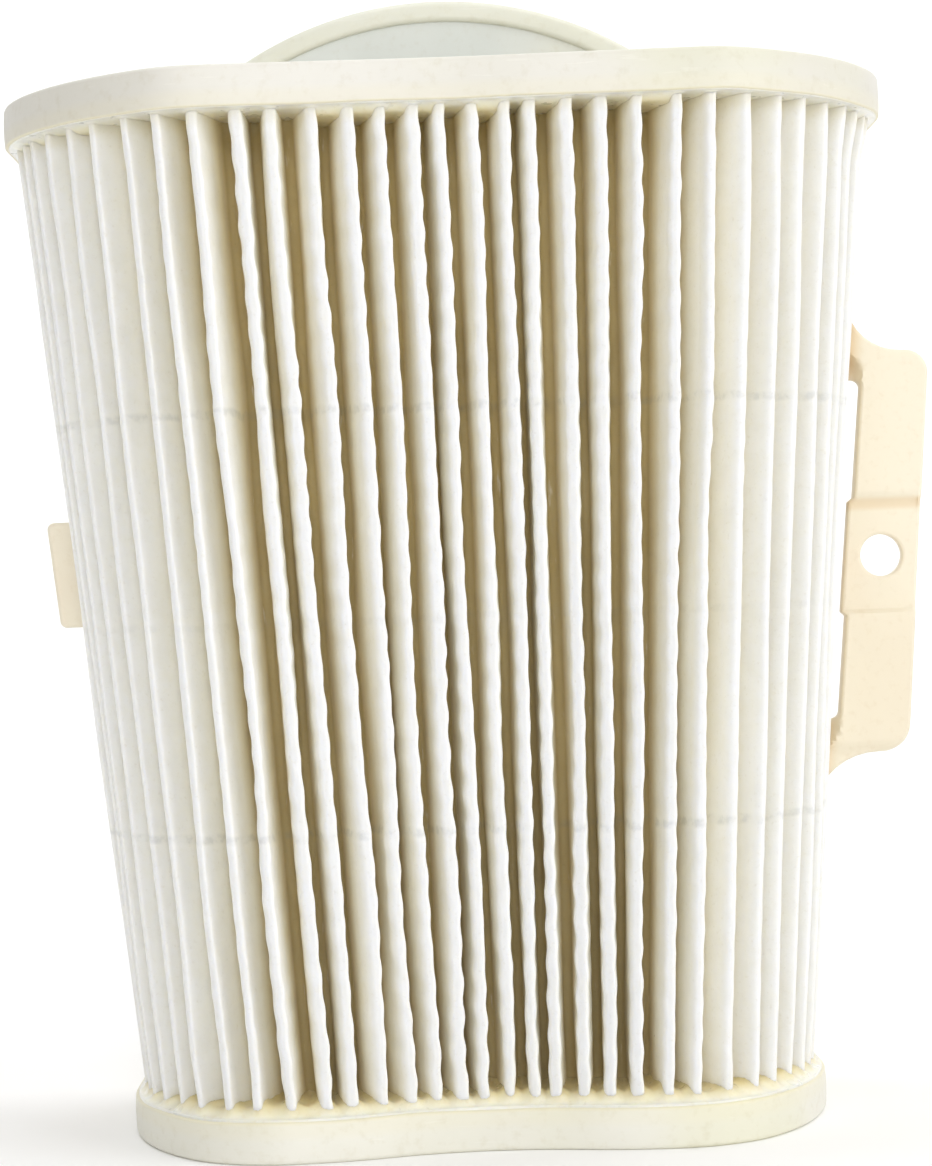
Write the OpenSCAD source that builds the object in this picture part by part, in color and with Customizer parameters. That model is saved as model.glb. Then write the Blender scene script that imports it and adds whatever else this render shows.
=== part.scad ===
// Tapered pleated air filter element for a motorcycle airbox.
// Units are millimetres. X runs across the element, Y from the front to the outlet side, Z up.
// The underside of the bottom end cap lies on z = 0 and x = 0 is the middle of the element.

/* [Body] */
// Height over both end caps
body_h = 168; // [150:1:190]
// Thickness of each end cap
cap_t = 6.5; // [5.5:0.5:8]
// Depth to which the paper and the frame are sunk into each cap
pot_t = 2.5; // [1.5:0.5:3.5]
// How far the cap rim stands outside the pleats
rim = 1.8; // [1.5:0.1:2]
// Radius of the two back corners of the caps
corner_r = 5; // [4:0.5:6]

/* [Pleats] */
// Depth of each pleat
pleat_d = 13; // [11:0.5:13]
// Thickness of the filter paper
paper_t = 0.5; // [0.4:0.1:0.5]
// Width of each rounded outer fold
tip_w = 2.2; // [1.6:0.1:2.4]
// Width of each rounded inner fold
fold_w = 1.3; // [1.2:0.1:1.3]
// Uneven spacing of the pleats, as a share of the half outline
uneven = 0.003; // [0:0.001:0.004]

/* [Inner cage] */
// Thickness of the cage hoops
hoop_t = 1.6; // [1.2:0.2:1.8]
// Height of each cage hoop
hoop_h = 2; // [1.6:0.2:3]
// Width of the upright cage bars
bar_w = 2.4; // [2:0.1:2.8]
// Height of each spacer bead
bead_h = 1.6; // [1.2:0.2:2.4]

/* [Back frame] */
// Thickness of the back wall and its side walls
wall_t = 2.5; // [2:0.1:3]
// Width of the side flanges that carry the ends of the paper
flange_w = 14; // [13.5:0.5:15]
// How far the stiffening ribs stand out of the back wall
rib_t = 1.6; // [1:0.2:2]
// Thickness of the glue line between paper and frame
bond_t = 1.2; // [1:0.1:1.5]

/* [Outlet] */
// Height of the outlet axis
outlet_z = 125.4; // [124:0.2:126]
// Radius of the outlet bore
outlet_r = 31; // [26:0.5:31]
// Wall thickness of the outlet neck
neck_t = 3; // [2:0.5:3]
// Radius of the outlet plate
plate_r = 62.5; // [60:0.5:63]
// Thickness of the outlet plate
plate_t = 3; // [2.5:0.5:3.5]

/* [Bracket and tab] */
// Radius of the screw hole
hole_r = 3.6; // [3:0.1:4]
// Height of the screw hole
hole_z = 89.3; // [86:0.1:92]
// Thickness of the bracket
bracket_t = 4; // [3.5:0.5:5]
// Depth of the recess around the screw hole
pad_cut = 1; // [0.5:0.1:1.5]
// Height of the locating tab
tab_h = 18; // [14:1:22]
// Reach of the locating tab beyond the frame
tab_w = 5.5; // [4:0.5:7]

/* [Hidden] */
$fn = 64;

resin = "#ece8d6";
paper = "#f1ede2";
cream = "#f4ead2";
cool_grey = "#dadcd6";
glue = "#e0d6b4";
cage_grey = "#c9c6bb";

// Front outline of each end as arcs of [length, turn], walked from the middle to the side.
top_arcs = [[19, -3], [20, 3], [8, 30], [14, 14], [20, 22], [15.5, 24]];
low_arcs = [[15, -17], [15, 17], [10, 27], [9, 25], [20, 24], [14, 14]];
top_front = -33;
low_front = -32;

// Planes across the depth, from the last pleat to the back of the caps.
side_end = 19.2;
leaf_y = side_end + tip_w / 2;
flange_y = leaf_y + bond_t;
wall_y = 30;
cap_back = 35;
plate_y = 37;

low_z = cap_t;
high_z = body_h - cap_t;

// Points [x, y, heading, length] along one arc.
function arc(x, y, a, s, l, t, n) = [
    for (i = [1 : n])
        let (f = i / n, r = l * 180 / (PI * t))
        [x + r * (sin(a + t * f) - sin(a)), y + r * (cos(a) - cos(a + t * f)), a + t * f, s + l * f]
];

// Points along arcs i and onwards, starting from p.
function walk(arcs, p, i, n) =
    i == len(arcs) ? [] :
    let (q = arc(p[0], p[1], p[2], p[3], arcs[i][0], arcs[i][1], n))
    concat(q, walk(arcs, q[n - 1], i + 1, n));

// Right half of an outline, down the straight side to y = y_end.
function half(arcs, y0, y_end) =
    let (p = walk(arcs, [0, y0, 0, 0], 0, 8), e = p[len(p) - 1])
    concat([[0, y0, 0, 0]], p, [[e[0], y_end, 90, e[3] + y_end - e[1]]]);

top_edge = half(top_arcs, top_front, side_end);
low_edge = half(low_arcs, low_front, side_end);

// A point of an outline moved inwards by d.
function inset(p, d) = [p[0] - d * sin(p[2]), p[1] + d * cos(p[2])];

// The right half mirrored to the left and joined into one loop.
function both_sides(pts) = concat(pts, [for (i = [len(pts) - 1 : -1 : 1]) [-pts[i][0], pts[i][1]]]);

// Closed outline of an end cap.
function cap_outline(edge) =
    let (w = edge[len(edge) - 1][0], c = cap_back - corner_r)
    both_sides(concat(
        [for (i = [0 : len(edge) - 2]) [edge[i][0], edge[i][1]]],
        [for (a = [0 : 10 : 90]) [w - corner_r + corner_r * cos(a), c + corner_r * sin(a)]]
    ));

// Tables of x, y and heading against the length along each half outline.
function column(edge, i) = [for (p = edge) [p[3], p[i]]];
top_tab = [column(top_edge, 0), column(top_edge, 1), column(top_edge, 2), top_edge[len(top_edge) - 1][3]];
low_tab = [column(low_edge, 0), column(low_edge, 1), column(low_edge, 2), low_edge[len(low_edge) - 1][3]];

// Point [x, y, heading] at share f of the half outline, negative on the left.
function at(tab, f) =
    let (s = abs(f) * tab[3], g = f < 0 ? -1 : 1)
    [g * lookup(s, tab[0]), lookup(s, tab[1]), g * lookup(s, tab[2])];

// Heading smoothed over a few pleats, so the inner folds stay apart in the tight lobes.
function soft_heading(tab, f) =
    (at(tab, f - 0.1)[2] + at(tab, f - 0.05)[2] + at(tab, f)[2] + at(tab, f + 0.05)[2] + at(tab, f + 0.1)[2]) / 5;

// Place of pleat k along the top outline, wider on the lobes than in the middle.
first = -19;
last = 18;
function spread(k) =
    let (x = k / 18.5)
    0.038 + 0.933 * x - 0.009 * x * x + 0.0755 * x * x * x - 0.0226 * sin(20.8 * k + 9.8)
    + uneven * sin(137 * k) + 0.7 * uneven * sin(89 * k + 40);
function top_share(k) = k == first ? -1 : k == last ? 1 : spread(k);

// Place of the same pleat along the bottom outline.
function low_share(k) =
    let (f = top_share(k))
    f + (1 - f * f) * (0.008 - 0.17 * f);

function share(k, top) = top ? top_share(k) : low_share(k);

// Three points over an outer fold. The paper is paper_t thick.
function tip_points(tab, f, outer) =
    let (
        p = at(tab, f),
        m = inset(p, rim),
        t = [cos(p[2]), sin(p[2])],
        q = [-sin(p[2]), cos(p[2])],
        w = outer ? tip_w / 2 : tip_w / 2 - 0.9 * paper_t,
        d = outer ? 0.5 : 0.5 + 0.4 * paper_t,
        c = outer ? 0 : paper_t
    )
    [m - w * t + d * q, m + c * q, m + w * t + d * q];

// A point d behind the outer folds, on the inside of the sheet.
function inner_point(tab, f, d) =
    let (h = soft_heading(tab, f))
    inset(at(tab, f), rim) + d * [-sin(h), cos(h)];

// Three points over an inner fold, midway between two pleats.
function fold_points(tab, f, outer) =
    let (
        h = soft_heading(tab, f),
        t = [cos(h), sin(h)],
        q = [-sin(h), cos(h)],
        m = inner_point(tab, f, pleat_d),
        w = outer ? fold_w / 2 - 0.9 * paper_t : fold_w / 2,
        d = outer ? 0.4 + 0.4 * paper_t : 0.4,
        c = outer ? paper_t : 0
    )
    [m - w * t - d * q, m - c * q, m + w * t - d * q];

// End of the paper, flat against the side flange of the frame.
function leaf_end(tab, side, outer) =
    [side * (at(tab, 1)[0] - rim - pleat_d), outer ? leaf_y : leaf_y - 0.9 * paper_t];

// One side of the folded sheet at the top or bottom, from left to right.
function sheet_side(tab, top, outer) = concat(
    [leaf_end(tab, -1, outer)],
    [for (k = [first : last]) each concat(
        tip_points(tab, share(k, top), outer),
        k == last ? [] : fold_points(tab, (share(k, top) + share(k + 1, top)) / 2, outer)
    )],
    [leaf_end(tab, 1, outer)]
);

top_out = sheet_side(top_tab, true, true);
top_in = sheet_side(top_tab, true, false);
low_out = sheet_side(low_tab, false, true);
low_in = sheet_side(low_tab, false, false);

function reversed(v) = [for (i = [len(v) - 1 : -1 : 0]) v[i]];
function lifted(v, z) = [for (p = v) [p[0], p[1], z]];

// Half width of the back frame: in step with the pleats, a little outside them.
low_half = low_edge[len(low_edge) - 1][0] - rim + 0.3;
top_half = top_edge[len(top_edge) - 1][0] - rim + 0.3;
function half_at(z) = low_half + (top_half - low_half) * (min(max(z, low_z), high_z) - low_z) / (high_z - low_z);

// Upright tapered strip in the XZ plane, between two distances in from the frame's side.
function strip(from, to) = [
    [low_half - from, cap_t - pot_t],
    [low_half - from, low_z],
    [top_half - from, high_z],
    [top_half - from, high_z + pot_t],
    [top_half - to, high_z + pot_t],
    [top_half - to, high_z],
    [low_half - to, low_z],
    [low_half - to, cap_t - pot_t]
];

// Stands a drawing in the XZ plane up at depth y, with thickness t towards the back.
module slab(y, t) {
    translate([0, y + t, 0])
        rotate([90, 0, 0])
            linear_extrude(t)
                children();
}

module mirrored() {
    children();
    mirror([1, 0, 0])
        children();
}

// Sections of everything that is sunk into a cap.
module sunk_sections(tab, outer, inner, half_w) {
    polygon(concat(outer, reversed(inner)));
    translate([-half_w, wall_y])
        square([2 * half_w, wall_t]);
    mirrored() {
        translate([half_w - flange_w, flange_y])
            square([flange_w, wall_t]);
        translate([half_w - wall_t, flange_y])
            square([wall_t, wall_y - flange_y + 0.01]);
        translate([at(tab, 1)[0] - rim - pleat_d, leaf_y])
            square([pleat_d - 0.5, bond_t]);
    }
}

module end_cap(edge, tab, outer, inner, half_w) {
    linear_extrude(cap_t - pot_t)
        polygon(cap_outline(edge));
    translate([0, 0, cap_t - pot_t])
        linear_extrude(pot_t)
            difference() {
                polygon(cap_outline(edge));
                sunk_sections(tab, outer, inner, half_w);
            }
}

module bottom_end_cap() {
    color(resin)
        end_cap(low_edge, low_tab, low_out, low_in, low_half);
}

module top_end_cap() {
    color(resin)
        translate([0, 0, body_h])
            mirror([0, 0, 1])
                end_cap(top_edge, top_tab, top_out, top_in, top_half);
}

// The folded sheet: straight inside the caps, and ruled between them in a few spans.
// Both sides of the sheet are split along the same diagonal, so they stay parallel.
module pleated_media() {
    spans = 3;
    n = len(top_out);
    ring = 2 * n;
    last_level = (spans + 2) * ring;
    low = concat(low_out, reversed(low_in));
    top = concat(top_out, reversed(top_in));
    points = concat(
        lifted(low, cap_t - pot_t),
        [for (i = [0 : spans]) let (m = i / spans)
            each lifted((1 - m) * low + m * top, (1 - m) * low_z + m * high_z)],
        lifted(top, high_z + pot_t)
    );
    walls = [
        for (level = [0 : spans + 1], i = [0 : ring - 1])
            let (a = level * ring + i, b = level * ring + (i + 1) % ring)
            each i < n
                ? [[a, b + ring, b], [a, a + ring, b + ring]]
                : [[a, a + ring, b], [b, a + ring, b + ring]]
    ];
    bottom = [for (i = [0 : n - 2]) [i, i + 1, ring - 2 - i, ring - 1 - i]];
    lid = [
        for (i = [0 : n - 2])
            let (j = last_level + i, k = last_level + ring - 1 - i)
            [j + 1, j, k, k - 1]
    ];
    color(paper)
        polyhedron(points, concat(walls, bottom, lid), convexity = 20);
}

// Half outline of the cage at height z, d behind the rim, running back to the wall.
function cage_half(z, d) =
    let (
        m = (z - low_z) / (high_z - low_z),
        line = [for (f = [0 : 0.05 : 1.001]) inner_point(low_tab, f, d) * (1 - m) + inner_point(top_tab, f, d) * m]
    )
    concat(line, [[line[len(line) - 1][0], wall_y]]);

function full_line(pts) = concat(
    [for (i = [len(pts) - 1 : -1 : 1]) [-pts[i][0], pts[i][1]]],
    pts
);

// Band that follows the inside of the pleats at height z.
module band(z, h, from, t) {
    translate([0, 0, z])
        linear_extrude(h)
            polygon(concat(
                full_line(cage_half(z, from)),
                reversed(full_line(cage_half(z, from + t)))
            ));
}

// Depth of the cage behind the outer folds: past the pleats and the spacer beads.
cage_d = pleat_d + 1.9;
hoops = 5;

module cage_hoops() {
    color(cage_grey)
        for (i = [0 : hoops - 1])
            band(low_z + i * (high_z - low_z - hoop_h) / (hoops - 1), hoop_h, cage_d, hoop_t);
}

// Upright bar behind share f of the outline, against the inside of the hoops.
module upright(f) {
    a = inner_point(low_tab, f, cage_d + hoop_t + 0.05);
    b = inner_point(top_tab, f, cage_d + hoop_t + 0.05);
    rise = high_z - low_z;
    multmatrix([
        [1, 0, (b[0] - a[0]) / rise, a[0]],
        [0, 1, (b[1] - a[1]) / rise, a[1]],
        [0, 0, 1, low_z]
    ])
        rotate(soft_heading(low_tab, f))
            translate([-bar_w / 2, 0, 0])
                cube([bar_w, hoop_t, rise]);
}

module cage_uprights() {
    color(cage_grey) {
        upright(0);
        mirrored()
            for (f = [0.14, 0.28, 0.44, 0.6, 0.76, 0.92])
                upright(f);
    }
}

// Spacer beads keep the pleats apart at three evenly spaced heights.
bead_gap = 32.8;
bead_mid = 82;
module spacer_bead(z) {
    color(glue)
        band(z - bead_h / 2, bead_h, pleat_d + 0.1, 1.6);
}

module spacer_bead_upper() {
    spacer_bead(bead_mid + bead_gap);
}

module spacer_bead_middle() {
    spacer_bead(bead_mid);
}

module spacer_bead_lower() {
    spacer_bead(bead_mid - bead_gap);
}

module media_bond_right() {
    color(glue)
        slab(leaf_y, bond_t)
            polygon(strip(0.8, pleat_d + 0.3));
}

module media_bond_left() {
    mirror([1, 0, 0])
        media_bond_right();
}

// Bracket drawn in the XZ plane: a bar parallel to the frame's side, joined at both ends.
bracket_low = 55.6;
bracket_high = 124.4;
slot_low = 61.5;
slot_high = 119.6;
slot_w = 3.7;
pad_step = 0.8;
bar_out_low = 16;
bar_out_high = 15;
pad_low = 79.8;
pad_high = 98.6;

module bracket_outline() {
    difference() {
        offset(-12)
            offset(17)
                offset(-5)
                    polygon([
                        [half_at(bracket_low - 14) - 14, bracket_low - 14],
                        [half_at(bracket_low - 14), bracket_low - 14],
                        [half_at(bracket_low), bracket_low],
                        [half_at(bracket_low) + bar_out_low, bracket_low],
                        [half_at(bracket_high) + bar_out_high, bracket_high],
                        [half_at(bracket_high), bracket_high],
                        [half_at(bracket_high + 14), bracket_high + 14],
                        [half_at(bracket_high + 14) - 14, bracket_high + 14]
                    ]);
        offset(1.2)
            offset(-1.2)
                polygon([
                    [half_at(slot_low), slot_low],
                    [half_at(slot_low) + slot_w, slot_low],
                    [half_at(pad_low - 1) + slot_w, pad_low - 1],
                    [half_at(pad_low) + slot_w - pad_step, pad_low],
                    [half_at(pad_high) + slot_w - pad_step, pad_high],
                    [half_at(pad_high + 1) + slot_w, pad_high + 1],
                    [half_at(slot_high) + slot_w, slot_high],
                    [half_at(slot_high), slot_high]
                ]);
    }
}

module bracket() {
    difference() {
        slab(flange_y, bracket_t)
            bracket_outline();
        translate([half_at(pad_low) + 1, flange_y - 1, pad_low])
            cube([bar_out_low + 5, 1 + pad_cut, pad_high - pad_low]);
        translate([half_at(hole_z) + 9.2, flange_y - 1, hole_z])
            rotate([-90, 0, 0])
                cylinder(r = hole_r, h = bracket_t + 2);
    }
}

// Locating tab on the left side of the frame.
tab_z = 91.3;
module tab() {
    mirror([1, 0, 0])
        slab(flange_y, bracket_t)
            offset(1)
                offset(-1)
                    polygon([
                        [half_at(tab_z) - 4, tab_z - tab_h / 2],
                        [half_at(tab_z - tab_h / 2) + tab_w, tab_z - tab_h / 2],
                        [half_at(tab_z + tab_h / 2) + tab_w, tab_z + tab_h / 2],
                        [half_at(tab_z) - 4, tab_z + tab_h / 2]
                    ]);
}

// Stiffening ribs on the outside of the back wall.
module ribs() {
    for (x = [-36, -12, 12, 36])
        translate([x - 1, low_z])
            square([2, high_z - low_z]);
    for (z = [34, 62])
        translate([0.5 - half_at(z), z - 1])
            square([2 * half_at(z) - 1, 2]);
}

module back_wall() {
    difference() {
        union() {
            slab(wall_y, wall_t)
                polygon([
                    [-low_half, cap_t - pot_t],
                    [low_half, cap_t - pot_t],
                    [low_half, low_z],
                    [top_half, high_z],
                    [top_half, high_z + pot_t],
                    [-top_half, high_z + pot_t],
                    [-top_half, high_z],
                    [-low_half, low_z]
                ]);
            slab(wall_y + wall_t - 0.5, rib_t + 0.5)
                ribs();
        }
        translate([0, wall_y - 1, outlet_z])
            rotate([-90, 0, 0])
                cylinder(r = outlet_r + neck_t, h = wall_t + 5, $fn = 128);
    }
}

module back_frame() {
    color(cream)
        union() {
            back_wall();
            mirrored() {
                slab(flange_y, wall_t)
                    polygon(strip(0, flange_w));
                slab(flange_y, wall_y - flange_y + 0.5)
                    polygon(strip(0, wall_t));
            }
            bracket();
            tab();
        }
}

// Flat round plate with a short neck that passes through the back wall.
module outlet_plate() {
    color(cool_grey)
        translate([0, 0, outlet_z])
            rotate([-90, 0, 0])
                rotate_extrude($fn = 128)
                    polygon([
                        [outlet_r, wall_y],
                        [outlet_r + neck_t, wall_y],
                        [outlet_r + neck_t, plate_y],
                        [plate_r, plate_y],
                        [plate_r, plate_y + plate_t],
                        [outlet_r, plate_y + plate_t]
                    ]);
}

// Soft bead moulded round the edge of the outlet plate, with a flat sealing face at the back.
module outlet_seal() {
    lip = 2;
    color(resin)
        translate([0, 0, outlet_z])
            rotate([-90, 0, 0])
                rotate_extrude($fn = 128)
                    polygon([
                        [plate_r - 1.6, plate_y - 0.8],
                        [plate_r - 1, plate_y - 1.2],
                        [plate_r + 1, plate_y - 1.2],
                        [plate_r + lip - 0.3, plate_y - 0.4],
                        [plate_r + lip, plate_y + 0.8],
                        [plate_r + lip, plate_y + plate_t + 2],
                        [plate_r + lip - 0.8, plate_y + plate_t + 3],
                        [plate_r - 1, plate_y + plate_t + 3],
                        [plate_r - 1.6, plate_y + plate_t + 2.2],
                        [plate_r - 1.6, plate_y + plate_t],
                        [plate_r, plate_y + plate_t],
                        [plate_r, plate_y],
                        [plate_r - 1.6, plate_y]
                    ]);
}

top_end_cap();
bottom_end_cap();
pleated_media();
cage_hoops();
cage_uprights();
spacer_bead_upper();
spacer_bead_middle();
spacer_bead_lower();
media_bond_left();
media_bond_right();
back_frame();
outlet_plate();
outlet_seal();
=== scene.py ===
import math

import bpy
import numpy as np
from mathutils import Matrix, Vector, geometry, kdtree


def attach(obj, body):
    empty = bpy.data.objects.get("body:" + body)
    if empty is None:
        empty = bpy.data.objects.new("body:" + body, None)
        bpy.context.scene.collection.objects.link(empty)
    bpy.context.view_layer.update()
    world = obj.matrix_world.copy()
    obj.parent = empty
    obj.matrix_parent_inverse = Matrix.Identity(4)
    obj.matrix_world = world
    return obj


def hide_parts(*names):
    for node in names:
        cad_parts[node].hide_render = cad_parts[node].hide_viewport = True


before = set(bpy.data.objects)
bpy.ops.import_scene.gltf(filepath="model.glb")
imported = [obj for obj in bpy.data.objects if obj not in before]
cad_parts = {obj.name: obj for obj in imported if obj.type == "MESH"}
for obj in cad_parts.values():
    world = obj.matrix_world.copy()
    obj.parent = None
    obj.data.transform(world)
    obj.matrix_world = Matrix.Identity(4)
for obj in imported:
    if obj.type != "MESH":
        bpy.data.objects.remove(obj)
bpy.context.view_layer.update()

# Numbers of the CAD design, in millimetres and degrees.
MM = 0.001
BODY_H = 168.0
CAP_T = 6.5
POT_T = 2.5
RIM = 1.8
CORNER_R = 5.0
PLEAT_D = 13.0
PAPER_T = 0.5
UNEVEN = 0.003
WALL_T = 2.5
FLANGE_W = 14.0
RIB_T = 1.6
OUTLET_Z = 125.4
OUTLET_R = 31.0
NECK_T = 3.0
PLATE_R = 62.5
PLATE_T = 3.0
HOLE_R = 3.6
HOLE_Z = 89.3
HOLE_IN = 9.2
BRACKET_T = 4.0
PAD_CUT = 1.0
TAB_H = 18.0
TAB_W = 5.5
TAB_Z = 91.3
TOP_ARCS = [(19, -3), (20, 3), (8, 30), (14, 14), (20, 22), (15.5, 24)]
LOW_ARCS = [(15, -17), (15, 17), (10, 27), (9, 25), (20, 24), (14, 14)]
TOP_FRONT = -33.0
LOW_FRONT = -32.0
SIDE_END = 19.2
LEAF_Y = 20.3
FLANGE_Y = 21.5
WALL_Y = 30.0
CAP_BACK = 35.0
PLATE_Y = 37.0
LOW_Z = CAP_T
HIGH_Z = BODY_H - CAP_T
BRACKET_LOW, BRACKET_HIGH = 55.6, 124.4
SLOT_LOW, SLOT_HIGH, SLOT_W = 61.5, 119.6, 3.7
BAR_OUT_LOW, BAR_OUT_HIGH = 16.0, 15.0
PAD_LOW, PAD_HIGH = 79.8, 98.6
BEADS = (49.2, 82.0, 114.8)
FIRST, LAST = -19, 18


# ---- small tools

def smooth(t):
    t = np.clip(t, 0.0, 1.0)
    return t * t * (3 - 2 * t)


def noise_2d(rng, x, y, cell):
    """Smooth random values between -1 and 1 that change over a distance of one cell."""
    size = 64
    lattice = rng.uniform(-1, 1, (size, size))
    gx, gy = np.asarray(x) / cell + 500.0, np.asarray(y) / cell + 500.0
    ix, iy = np.floor(gx).astype(int), np.floor(gy).astype(int)
    sx, sy = smooth(gx - ix), smooth(gy - iy)
    a = lattice[ix % size, iy % size]
    b = lattice[(ix + 1) % size, iy % size]
    c = lattice[ix % size, (iy + 1) % size]
    d = lattice[(ix + 1) % size, (iy + 1) % size]
    return (a * (1 - sx) + b * sx) * (1 - sy) + (c * (1 - sx) + d * sx) * sy


def curves_along(rng, z, count, period):
    """Smooth random curves along z, one column each, of about unit size."""
    knots = int((z[-1] - z[0]) / period) + 4
    values = rng.normal(0, 1, (knots, count))
    t = (z - z[0]) / period + rng.uniform(0, 1)
    i = np.floor(t).astype(int)
    s = smooth(t - i)[:, None]
    return values[i] * (1 - s) + values[i + 1] * s


def make_piece(name, points, faces, nodes, material, attributes=None, sharp=40):
    """A mesh piece from points in millimetres, riding on the one body."""
    mesh = bpy.data.meshes.new(name)
    mesh.from_pydata((np.asarray(points, float) * MM).tolist(), [], faces)
    mesh.validate()
    for key, values in (attributes or {}).items():
        layer = mesh.attributes.new(key, "FLOAT", "POINT")
        layer.data.foreach_set("value", np.asarray(values, np.float32).ravel())
    mesh.polygons.foreach_set("use_smooth", [True] * len(mesh.polygons))
    mesh.set_sharp_from_angle(angle=math.radians(sharp))
    mesh.materials.append(material)
    piece = bpy.data.objects.new(name, mesh)
    bpy.context.scene.collection.objects.link(piece)
    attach(piece, "root")
    if nodes:
        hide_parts(*nodes)
    return piece


def grid_faces(rows, columns, start=0, wrap=False, flip=False):
    """Quads between the rows of a grid of points."""
    faces = []
    for r in range(rows - 1):
        for c in range(columns if wrap else columns - 1):
            a = start + r * columns + c
            b = start + r * columns + (c + 1) % columns
            quad = (a, b, b + columns, a + columns)
            faces.append(quad[::-1] if flip else quad)
    return faces


def sheet_faces(rows, columns):
    """Faces of a closed sheet: one grid of points, then the same grid on its other side."""
    n = rows * columns
    faces = grid_faces(rows, columns) + grid_faces(rows, columns, n, flip=True)
    for c in range(columns - 1):
        faces.append((c + 1, c, n + c, n + c + 1))
        a = (rows - 1) * columns + c
        faces.append((a, a + 1, n + a + 1, n + a))
    for r in range(rows - 1):
        a = r * columns
        faces.append((a, a + columns, n + a + columns, n + a))
        b = a + columns - 1
        faces.append((b + columns, b, n + b, n + b + columns))
    return faces


# ---- outlines of the two ends

class Edge:
    """Half outline of one end cap, walked from the middle of the front to the side."""

    def __init__(self, arcs, front, steps=24):
        x, y, a, s = 0.0, front, 0.0, 0.0
        rows = [(x, y, a, s)]
        for length, turn in arcs:
            t = math.radians(turn)
            r = length / t
            for i in range(1, steps + 1):
                b = a + t * i / steps
                rows.append((
                    x + r * (math.sin(b) - math.sin(a)),
                    y + r * (math.cos(a) - math.cos(b)),
                    b,
                    s + length * i / steps,
                ))
            x, y, a, s = rows[-1]
        rows.append((x, SIDE_END, math.pi / 2, s + SIDE_END - y))
        self.x, self.y, self.a, self.s = np.array(rows).T
        self.length = self.s[-1]
        self.side_x = self.x[-1]

    def at(self, f):
        """Place x, y and heading at share f of the half outline, negative on the left."""
        f = np.asarray(f, float)
        s = np.clip(np.abs(f), 0, 1) * self.length
        g = np.where(f < 0, -1.0, 1.0)
        return (
            g * np.interp(s, self.s, self.x),
            np.interp(s, self.s, self.y),
            g * np.interp(s, self.s, self.a),
        )

    def soft_heading(self, f):
        return sum(self.at(np.asarray(f) + d)[2] for d in (-0.1, -0.05, 0, 0.05, 0.1)) / 5

    def tip(self, f):
        """Middle of an outer fold with its sideways and inward directions."""
        x, y, a = self.at(f)
        middle = np.stack([x - RIM * np.sin(a), y + RIM * np.cos(a)], -1)
        return middle, np.stack([np.cos(a), np.sin(a)], -1), np.stack([-np.sin(a), np.cos(a)], -1)

    def fold(self, f, depth):
        """Middle of an inner fold with its sideways and inward directions."""
        middle = self.tip(f)[0]
        h = self.soft_heading(f)
        inward = np.stack([-np.sin(h), np.cos(h)], -1)
        return middle + depth * inward, np.stack([np.cos(h), np.sin(h)], -1), inward

    def cap_loop(self, count):
        """Evenly spaced points round the whole end cap."""
        c = CAP_BACK - CORNER_R
        angles = np.radians(np.arange(0, 91, 6))
        corner = np.stack([
            self.side_x - CORNER_R + CORNER_R * np.cos(angles),
            c + CORNER_R * np.sin(angles),
        ], -1)
        half = np.concatenate([np.stack([self.x[:-1], self.y[:-1]], -1), corner])
        other = half[:0:-1] * [-1, 1]
        return resample(np.concatenate([half, other]), count)


def resample(loop, count):
    """A closed loop of points spaced evenly along its length."""
    closed = np.concatenate([loop, loop[:1]])
    s = np.concatenate([[0], np.cumsum(np.linalg.norm(np.diff(closed, axis=0), axis=1))])
    t = np.arange(count) * s[-1] / count
    return np.stack([np.interp(t, s, closed[:, 0]), np.interp(t, s, closed[:, 1])], -1)


def loop_normals(loop):
    """Directions that point to the left of travel: inwards for an anticlockwise loop."""
    t = np.roll(loop, -1, 0) - np.roll(loop, 1, 0)
    t /= np.linalg.norm(t, axis=1)[:, None] + 1e-9
    return np.stack([-t[:, 1], t[:, 0]], -1)


TOP_EDGE = Edge(TOP_ARCS, TOP_FRONT)
LOW_EDGE = Edge(LOW_ARCS, LOW_FRONT)
LOW_HALF = LOW_EDGE.side_x - RIM + 0.3
TOP_HALF = TOP_EDGE.side_x - RIM + 0.3


def half_at(z):
    """Half width of the back frame at height z."""
    return LOW_HALF + (TOP_HALF - LOW_HALF) * (np.clip(z, LOW_Z, HIGH_Z) - LOW_Z) / (HIGH_Z - LOW_Z)


def pleat_shares():
    """Shares of the outline at which the outer folds stand, at the top and at the bottom."""
    k = np.arange(FIRST, LAST + 1)
    x = k / 18.5
    wave = -0.0226 * np.sin(np.radians(20.8 * k + 9.8))
    jitter = UNEVEN * np.sin(np.radians(137 * k)) + 0.7 * UNEVEN * np.sin(np.radians(89 * k + 40))
    top = 0.038 + 0.933 * x - 0.009 * x * x + 0.0755 * x ** 3 + wave + jitter
    top[0], top[-1] = -1.0, 1.0
    return top, top + (1 - top * top) * (0.008 - 0.17 * top)


TOP_SHARE, LOW_SHARE = pleat_shares()


# ---- materials

def srgb(colour):
    """A colour given as 0-255 display values, as the linear values a shader wants."""
    c = np.array(colour, float) / 255
    return (*np.where(c <= 0.04045, c / 12.92, ((c + 0.055) / 1.055) ** 2.4), 1.0)


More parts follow.
